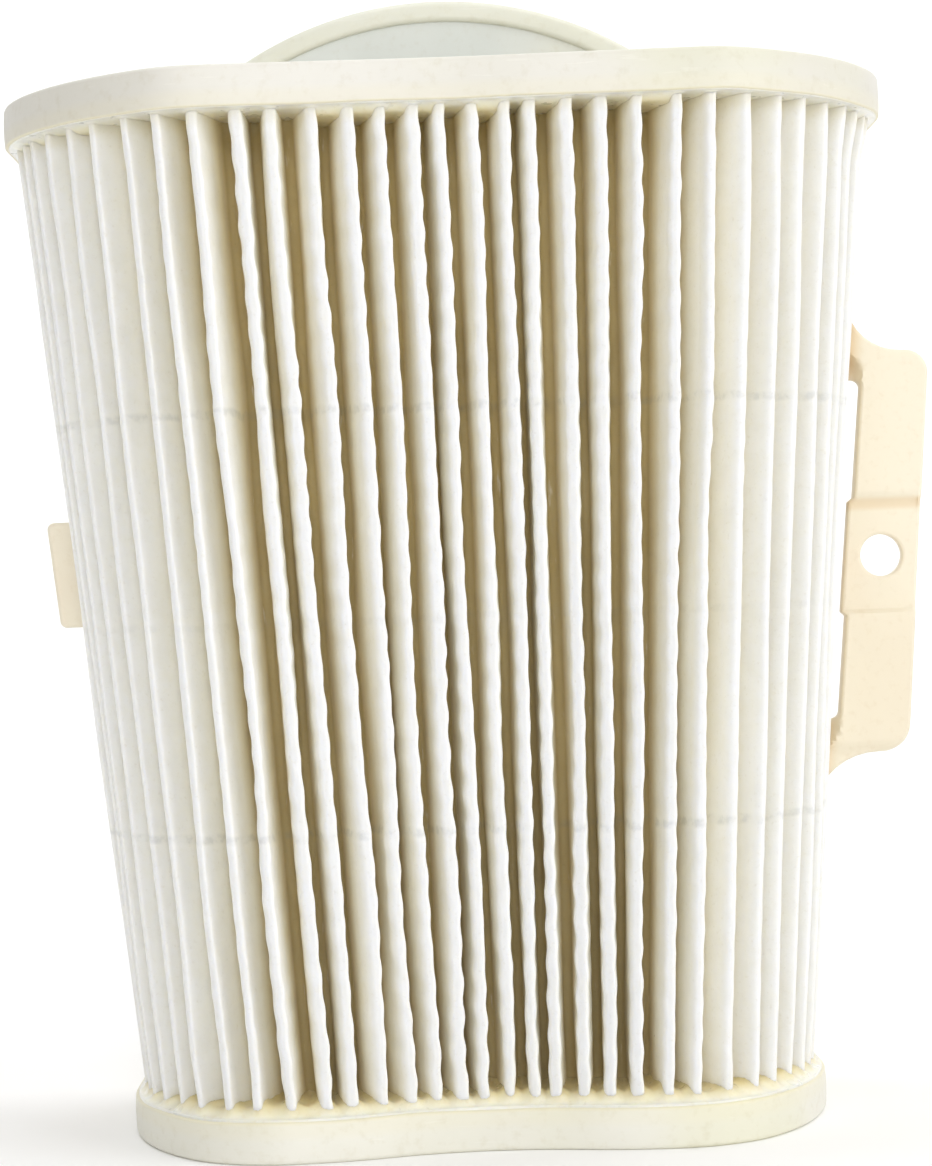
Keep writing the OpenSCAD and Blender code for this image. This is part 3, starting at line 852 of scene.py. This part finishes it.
def fillet(points, radii, steps=9):
    """A polygon with each corner rounded to its own radius."""
    out = []
    points = np.array(points, float)
    for i, p in enumerate(points):
        to_last, to_next = points[i - 1] - p, points[(i + 1) % len(points)] - p
        a = to_last / np.linalg.norm(to_last)
        b = to_next / np.linalg.norm(to_next)
        half = math.acos(np.clip(a @ b, -1, 1)) / 2
        if radii[i] == 0 or half > math.radians(89):
            out.append(p)
            continue
        reach = min(
            radii[i] / math.tan(half),
            0.96 * np.linalg.norm(to_last) * radii[i] / (radii[i] + radii[i - 1]),
            0.96 * np.linalg.norm(to_next) * radii[i] / (radii[i] + radii[(i + 1) % len(points)]),
        )
        r = reach * math.tan(half)
        centre = p + (a + b) / np.linalg.norm(a + b) * r / math.sin(half)
        start, end = p + a * reach - centre, p + b * reach - centre
        turn = math.atan2(start[0] * end[1] - start[1] * end[0], start @ end)
        for j in range(steps + 1):
            t = turn * j / steps
            c, s = math.cos(t), math.sin(t)
            out.append(centre + [start[0] * c - start[1] * s, start[0] * s + start[1] * c])
    return np.array(out)


def spaced(loop, spacing):
    """Points added along the long edges of a loop; its corners stay."""
    out = []
    for p, q in zip(loop, np.roll(loop, -1, 0)):
        n = max(1, int(np.linalg.norm(q - p) / spacing))
        for i in range(n):
            out.append(p + (q - p) * i / n)
    return np.array(out)


def circle(x, z, r, count):
    a = np.arange(count) * 2 * math.pi / count
    return np.stack([x + r * np.cos(a), z + r * np.sin(a)], -1)


def inside(loops, pts):
    """Even-odd test of points against several loops."""
    found = np.zeros(len(pts), bool)
    x, y = pts[:, 0], pts[:, 1]
    for loop in loops:
        for (x0, y0), (x1, y1) in zip(loop, np.roll(loop, -1, 0)):
            if y0 == y1:
                continue
            cross = ((y0 > y) != (y1 > y)) & (x < (x1 - x0) * (y - y0) / (y1 - y0) + x0)
            found ^= cross
    return found


class Slabs:
    """Flat solids in the XZ plane with rounded edges, gathered into one mesh."""

    def __init__(self):
        self.points, self.faces, self.total = [], [], 0

    def add(self, loops, y0, y1, r, spacing=1.5, front=None, mirror=False, seed=1):
        """loops: the outline anticlockwise, then the holes clockwise. front moves the front face back."""
        rng = np.random.default_rng(seed)
        loops = [spaced(np.asarray(loop, float), spacing) for loop in loops]
        angles = np.radians([0, 30, 60, 90])
        sections = [(r * (1 - math.sin(a)), y0 + r * (1 - math.cos(a))) for a in angles]
        sections += [(r * (1 - math.cos(a)), y1 - r * (1 - math.sin(a))) for a in angles]
        normals = [loop_normals(loop) for loop in loops]
        sizes = [len(loop) for loop in loops]
        starts = np.cumsum([0] + sizes)[:-1]
        layer = sum(sizes)
        rings = []
        for inset, y in sections:
            flat = np.concatenate([loop + inset * n for loop, n in zip(loops, normals)])
            rings.append(np.column_stack([flat[:, 0], np.full(layer, y), flat[:, 1]]))
        points = np.concatenate(rings)
        faces = []
        for s in range(len(sections) - 1):
            for start, size in zip(starts, sizes):
                for i in range(size):
                    j = (i + 1) % size
                    a, b = s * layer + start + i, s * layer + start + j
                    faces.append((a, b, b + layer, a + layer))
        inner = [loop + r * n for loop, n in zip(loops, normals)]
        rim = np.concatenate(inner)
        low, high = rim.min(0), rim.max(0)
        gx, gz = np.meshgrid(
            np.arange(low[0] + spacing / 2, high[0], spacing),
            np.arange(low[1] + spacing / 2, high[1], spacing),
        )
        grid = np.stack([gx.ravel(), gz.ravel()], -1)
        grid = grid[inside(inner, grid)]
        gap = np.array([np.min(np.sum((rim - g) ** 2, 1)) for g in grid]) if len(grid) else np.zeros(0)
        grid = grid[gap > (0.55 * spacing) ** 2] if len(grid) else grid
        cloud = np.concatenate([rim, grid]) if len(grid) else rim
        edges = []
        for start, size in zip(starts, sizes):
            edges += [(int(start + i), int(start + (i + 1) % size)) for i in range(size)]
        out = geometry.delaunay_2d_cdt([tuple(p) for p in cloud.tolist()], edges, [], 0, 1e-7)
        verts, tris, origin = np.array([tuple(p) for p in out[0]]), np.array(out[2]), out[3]
        keep = inside(inner, verts[tris].mean(1))
        tris = tris[keep]
        where = {}
        extra = len(points)
        new = []
        for i, sources in enumerate(origin):
            source = min(sources) if len(sources) else -1
            if 0 <= source < layer:
                where[i] = (source, (len(sections) - 1) * layer + source)
            else:
                where[i] = (extra + 2 * len(new), extra + 2 * len(new) + 1)
                new.append(verts[i])
        if new:
            new = np.array(new)
            pair = np.empty((2 * len(new), 3))
            pair[0::2] = np.column_stack([new[:, 0], np.full(len(new), y0), new[:, 1]])
            pair[1::2] = np.column_stack([new[:, 0], np.full(len(new), y1), new[:, 1]])
            points = np.concatenate([points, pair])
        for tri in tris:
            a, b, c = (int(i) for i in tri)
            faces.append((where[b][0], where[c][0], where[a][0]))
            faces.append((where[c][1], where[b][1], where[a][1]))
        if front is not None:
            share = np.clip((y1 - points[:, 1]) / (y1 - y0), 0, 1)
            points[:, 1] += share * front(points[:, 0], points[:, 2])
        else:
            near_front = points[:, 1] < y0 + 0.5 * (y1 - y0)
            points[:, 1] += np.where(near_front, 1, -1) * 0.04 * (
                1 + noise_2d(rng, points[:, 0], points[:, 2], 12.0))
        if mirror:
            points = points * [-1, 1, 1]
            faces = [f[::-1] for f in faces]
        self.points.append(points)
        self.faces += [tuple(int(i) + self.total for i in f) for f in faces]
        self.total += len(points)


def strip(start, end):
    """Tapered upright strip of the frame, between two distances in from its side."""
    return np.array([
        (LOW_HALF - end, CAP_T - POT_T + 0.3),
        (LOW_HALF - start, CAP_T - POT_T + 0.3),
        (LOW_HALF - start, LOW_Z),
        (TOP_HALF - start, HIGH_Z),
        (TOP_HALF - start, HIGH_Z + POT_T - 0.3),
        (TOP_HALF - end, HIGH_Z + POT_T - 0.3),
        (TOP_HALF - end, HIGH_Z),
        (LOW_HALF - end, LOW_Z),
    ])


def bracket_loops():
    low, high = BRACKET_LOW, BRACKET_HIGH
    outline = fillet([
        (half_at(low - 14) - 14, low - 14),
        (half_at(low - 14), low - 14),
        (half_at(low), low),
        (half_at(low) + BAR_OUT_LOW, low),
        (half_at(high) + BAR_OUT_HIGH, high),
        (half_at(high), high),
        (half_at(high + 14), high + 14),
        (half_at(high + 14) - 14, high + 14),
    ], [0, 0, 12, 5, 5, 12, 0, 0])
    pad_w = SLOT_W - 0.8
    slot = fillet([
        (half_at(SLOT_LOW), SLOT_LOW),
        (half_at(SLOT_LOW) + SLOT_W, SLOT_LOW),
        (half_at(PAD_LOW - 0.7) + SLOT_W, PAD_LOW - 0.7),
        (half_at(PAD_LOW) + pad_w, PAD_LOW),
        (half_at(PAD_HIGH) + pad_w, PAD_HIGH),
        (half_at(PAD_HIGH + 0.7) + SLOT_W, PAD_HIGH + 0.7),
        (half_at(SLOT_HIGH) + SLOT_W, SLOT_HIGH),
        (half_at(SLOT_HIGH), SLOT_HIGH),
    ], [1.2, 1.4, 0.3, 0.3, 0.3, 0.3, 1.4, 1.2])
    hole = circle(half_at(HOLE_Z) + HOLE_IN, HOLE_Z, HOLE_R, 56)
    return [outline, slot[::-1], hole[::-1]]


def bracket_front(x, z):
    """How far the bracket's front face lies behind its plane: the screw pad and the two end posts."""
    pad = PAD_CUT * (smooth((z - PAD_LOW + 0.5) / 0.9) - smooth((z - PAD_HIGH + 0.4) / 1.9))
    out = x - half_at(z)
    upper = (out / SLOT_W) ** 2 + (np.maximum(z - SLOT_HIGH, 0) / 4.6) ** 2
    lower = (out / SLOT_W) ** 2 + (np.maximum(SLOT_LOW - z, 0) / 5.4) ** 2
    post = np.where(z > HOLE_Z, upper, lower)
    ends = (z > SLOT_HIGH - 1.5) | (z < SLOT_LOW + 1.5)
    dip = 2.3 * smooth((1.15 - post) / 0.75) * ends
    sag = 0.10 * np.sin((z - 60) / 7.0) * np.sin((x - 60) / 4.0)
    lower_lip = 0.9 * smooth((BRACKET_LOW + 1.9 - z) / 1.9) * smooth(out / 3.0)
    return pad + dip + sag * smooth(out / 4) + lower_lip


def build_frame():
    slabs = Slabs()
    wall = np.array([
        (-LOW_HALF, CAP_T - POT_T + 0.3), (LOW_HALF, CAP_T - POT_T + 0.3), (LOW_HALF, LOW_Z),
        (TOP_HALF, HIGH_Z), (TOP_HALF, HIGH_Z + POT_T - 0.3), (-TOP_HALF, HIGH_Z + POT_T - 0.3),
        (-TOP_HALF, HIGH_Z), (-LOW_HALF, LOW_Z),
    ])
    bore = circle(0, OUTLET_Z, OUTLET_R + NECK_T, 128)[::-1]
    slabs.add([wall, bore], WALL_Y, WALL_Y + WALL_T, 0.5, 2.5, seed=41)
    back = WALL_Y + WALL_T
    for i, x in enumerate((-36, -12, 12, 36)):
        reach = math.sqrt((OUTLET_R + NECK_T) ** 2 - x * x) if abs(x) < OUTLET_R + NECK_T else 0.0
        spans = [(LOW_Z, HIGH_Z)] if reach == 0 else [(LOW_Z, OUTLET_Z - reach), (OUTLET_Z + reach, HIGH_Z)]
        for z0, z1 in spans:
            rib = [(x - 1, z0), (x + 1, z0), (x + 1, z1), (x - 1, z1)]
            slabs.add([fillet(rib, [0.3] * 4, 3)], back - 0.5, back + RIB_T, 0.35, 1.6, seed=50 + i)
    for i, z in enumerate((34, 62)):
        w = half_at(z) - 0.5
        rib = [(-w, z - 1), (w, z - 1), (w, z + 1), (-w, z + 1)]
        slabs.add([fillet(rib, [0.3] * 4, 3)], back - 0.5, back + RIB_T, 0.35, 1.6, seed=60 + i)
    for mirror in (False, True):
        slabs.add([strip(0, FLANGE_W)], FLANGE_Y, FLANGE_Y + WALL_T, 0.4, 2.0, mirror=mirror, seed=70)
        slabs.add([strip(0, WALL_T)], FLANGE_Y, WALL_Y + 0.5, 0.4, 2.0, mirror=mirror, seed=72)
        foot = fillet([
            (LOW_HALF - 2.0, CAP_T - 0.6), (LOW_HALF + 1.4, CAP_T - 0.6), (LOW_HALF + 1.4, CAP_T + 1.4),
            (LOW_HALF + 0.5, CAP_T + 4.6), (LOW_HALF - 2.0, CAP_T + 5.2),
        ], [0.3, 0.3, 1.2, 1.5, 0.3], 5)
        slabs.add([foot], FLANGE_Y, WALL_Y + WALL_T, 0.5, 1.2, mirror=mirror, seed=73)
    slabs.add(bracket_loops(), FLANGE_Y, FLANGE_Y + BRACKET_T, 0.55, 0.7,
              front=bracket_front, seed=74)
    tab = fillet([
        (half_at(TAB_Z) - 4, TAB_Z - TAB_H / 2),
        (half_at(TAB_Z - TAB_H / 2) + TAB_W, TAB_Z - TAB_H / 2),
        (half_at(TAB_Z + TAB_H / 2) + TAB_W, TAB_Z + TAB_H / 2),
        (half_at(TAB_Z) - 4, TAB_Z + TAB_H / 2),
    ], [0.5, 1.2, 1.2, 0.5])
    slabs.add([tab], FLANGE_Y, FLANGE_Y + BRACKET_T, 0.6, 0.9, mirror=True, seed=76)
    piece = make_piece("frame_moulding", np.concatenate(slabs.points), slabs.faces,
                       ["back_frame"], FRAME, sharp=45)
    tidy = piece.modifiers.new("even_shading", "WEIGHTED_NORMAL")
    tidy.keep_sharp = True


build_frame()


# ---- outlet plate and seal

def rounded_section(points, radii, spacing):
    """A closed section with rounded corners and closely spaced points."""
    return spaced(fillet(points, radii, 6), spacing)


def build_lathe(name, node, section, material, seed, wobble=0.05):
    """A closed section [radius, y] turned about the outlet axis."""
    rng = np.random.default_rng(seed)
    count = 288
    a = np.arange(count) * 2 * math.pi / count
    n = len(section)
    points = np.empty((count, n, 3))
    for i, angle in enumerate(a):
        r, y = section[:, 0], section[:, 1]
        x, z = r * math.cos(angle), r * math.sin(angle)
        move = wobble * noise_2d(np.random.default_rng(seed), x, z, 14.0)
        points[i] = np.column_stack([x, y + move * (y < PLATE_Y + 1.0), z + OUTLET_Z])
    faces = []
    for i in range(count):
        k = (i + 1) % count
        for j in range(n):
            m = (j + 1) % n
            faces.append((i * n + j, k * n + j, k * n + m, i * n + m))
    edge = 0.15 + 0.1 * rng.uniform(0, 1, count * n)
    make_piece(name, points.reshape(-1, 3), faces, [node], material, {"edge": edge}, 50)


plate_section = rounded_section([
    (OUTLET_R, WALL_Y), (OUTLET_R + NECK_T, WALL_Y), (OUTLET_R + NECK_T, PLATE_Y),
    (PLATE_R, PLATE_Y), (PLATE_R, PLATE_Y + PLATE_T), (OUTLET_R, PLATE_Y + PLATE_T),
], [0.8, 0.8, 1.2, 0.4, 0.4, 1.0], 1.5)
build_lathe("outlet_disc", "outlet_plate", plate_section, PLATE, 81)

SEAL_IN, SEAL_OUT, SEAL_FRONT, SEAL_BACK = PLATE_R - 1.6, PLATE_R + 2, PLATE_Y - 1.2, PLATE_Y + PLATE_T + 3
seal_section = rounded_section([
    (SEAL_IN, SEAL_FRONT), (SEAL_OUT, SEAL_FRONT), (SEAL_OUT, SEAL_BACK), (SEAL_IN, SEAL_BACK),
], [0.9, 1.5, 0.8, 0.6], 0.5)
build_lathe("outlet_seal_bead", "outlet_seal", seal_section, SEAL, 82)


# ---- CAD nodes that keep their shape

def dress(node, material, bevel):
    """A CAD node with its own material and softened edges."""
    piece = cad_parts[node]
    piece.data.materials.clear()
    piece.data.materials.append(material)
    weld = piece.modifiers.new("weld", "WELD")
    weld.merge_threshold = 0.00002
    soft = piece.modifiers.new("soft_edges", "BEVEL")
    soft.width = bevel * MM
    soft.segments = 2
    soft.limit_method = "ANGLE"
    soft.angle_limit = math.radians(50)


dress("cage_hoops", CAGE, 0.3)
dress("cage_uprights", CAGE, 0.35)
for bead in ("spacer_bead_upper", "spacer_bead_middle", "spacer_bead_lower"):
    dress(bead, GLUE, 0.3)
for bond in ("media_bond_left", "media_bond_right"):
    dress(bond, GLUE, 0.2)


# ---- studio

def area_light(name, place, target, size, power, colour):
    data = bpy.data.lights.new(name, "AREA")
    data.shape = "RECTANGLE"
    data.size, data.size_y = size
    data.energy = power
    data.color = colour
    lamp = bpy.data.objects.new(name, data)
    lamp.location = place
    aim = np.array(target) - np.array(place)
    lamp.rotation_mode = "QUATERNION"
    lamp.rotation_quaternion = Vector(aim).to_track_quat("-Z", "Y")
    bpy.context.scene.collection.objects.link(lamp)


def build_floor():
    """Pale sweep: a floor that curves up into a backdrop."""
    profile = [(-4.0, 0.0), (0.5, 0.0)]
    for a in np.radians(np.arange(10, 91, 10)):
        profile.append((0.5 + 0.5 * math.sin(a), 0.5 - 0.5 * math.cos(a)))
    profile.append((1.0, 2.2))
    points = []
    for x in (-2.4, 2.4):
        points += [(x, y, z) for y, z in profile]
    n = len(profile)
    faces = [(i, n + i, n + i + 1, i + 1) for i in range(n - 1)]
    mesh = bpy.data.meshes.new("floor")
    mesh.from_pydata(points, [], faces)
    mesh.polygons.foreach_set("use_smooth", [True] * len(mesh.polygons))
    p = Paint("studio_white", specular=0.1)
    tone = p.noise(3, 2, 0.5)
    mesh.materials.append(p.finish(
        p.mix(p.span(tone, 0.3, 0.7), (250, 250, 250), (248, 248, 248)), 0.9, [(tone, 0.02, 0.1)]
    ))
    floor = bpy.data.objects.new("floor", mesh)
    bpy.context.scene.collection.objects.link(floor)


build_floor()
world = bpy.data.worlds.new("studio")
world.use_nodes = True
background = world.node_tree.nodes["Background"].inputs
background["Color"].default_value = (1.0, 0.995, 0.985, 1.0)
background["Strength"].default_value = 0.30
bpy.context.scene.world = world
area_light("key", (1.15, -0.75, 0.75), (0.0, 0.0, 0.09), (1.1, 1.1), 8.8, (1.0, 0.995, 0.975))
area_light("overhead", (0.1, -0.2, 1.5), (0.0, 0.1, 0.0), (1.6, 1.6), 3.8, (1.0, 1.0, 1.0))
area_light("front_strip", (0.02, -1.15, 0.62), (0.0, 0.0, 0.09), (0.22, 0.9), 3.6, (1.0, 1.0, 1.0))
area_light("front_fill", (-0.25, -1.3, 0.40), (0.0, 0.0, 0.09), (0.9, 0.9), 3.1, (1.0, 1.0, 1.0))
area_light("backdrop_wash", (0.0, 0.25, 1.4), (0.0, 1.0, 0.3), (2.4, 0.5), 12.0, (1.0, 1.0, 1.0))

CAMERA_PLACE = (-0.008, -0.494, 0.0873)
CAMERA_ROLL = math.radians(2.25)
CAMERA_YAW = math.radians(1.015)
SENSOR, LENS = 36.0, 93.0566
camera_data = bpy.data.cameras.new("camera")
camera_data.sensor_fit = "AUTO"
camera_data.sensor_width = SENSOR
camera_data.lens = LENS
camera_data.clip_start, camera_data.clip_end = 0.01, 20.0
camera = bpy.data.objects.new("camera", camera_data)
cr, sr = math.cos(CAMERA_ROLL), math.sin(CAMERA_ROLL)
cy, sy = math.cos(CAMERA_YAW), math.sin(CAMERA_YAW)
camera.matrix_world = Matrix((
    (cr * cy, sr * cy, -sy, CAMERA_PLACE[0]),
    (-cr * sy, -sr * sy, -cy, CAMERA_PLACE[1]),
    (-sr, cr, 0.0, CAMERA_PLACE[2]),
    (0.0, 0.0, 0.0, 1.0),
))
bpy.context.scene.collection.objects.link(camera)
bpy.context.scene.camera = camera
bpy.context.scene.view_settings.view_transform = "Standard"
bpy.context.scene.cycles.diffuse_bounces = 10
bpy.context.scene.cycles.max_bounces = 14

bpy.context.view_layer.update()
